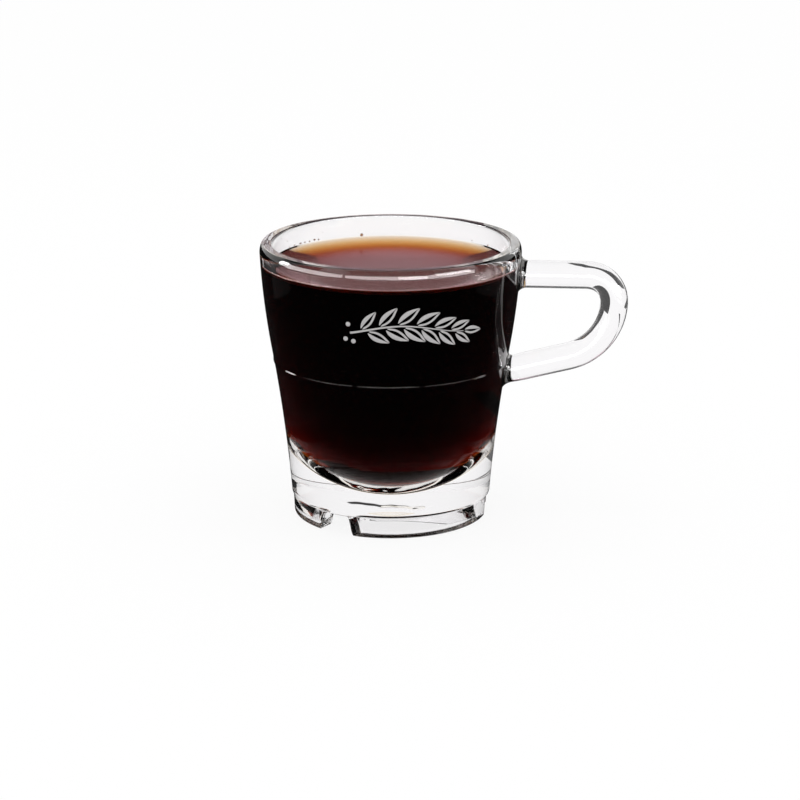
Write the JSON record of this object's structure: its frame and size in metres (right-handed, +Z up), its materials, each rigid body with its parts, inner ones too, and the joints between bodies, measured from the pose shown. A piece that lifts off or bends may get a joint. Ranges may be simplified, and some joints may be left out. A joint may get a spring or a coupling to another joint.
{
  "type": "espresso glass",
  "caption": "Thick clear glass espresso cup with a heavy notched foot, a rounded lip and a bent rod handle, filled nearly to the brim with black coffee.",
  "frame": {"origin": "on the table under the middle of the whole outline, so the bowl's axis lies 12.55 mm along -X", "axes": "+X from the bowl towards the handle, +Y sideways, +Z up towards the rim"},
  "size_m": [0.087, 0.062, 0.0661],
  "materials": {
    "clear_glass": "polished",
    "black_coffee": "gloss"
  },
  "bodies": {
    "root": {"bowl": "clear_glass", "handle": "clear_glass", "coffee": "black_coffee"}
  },
  "joints": []
}
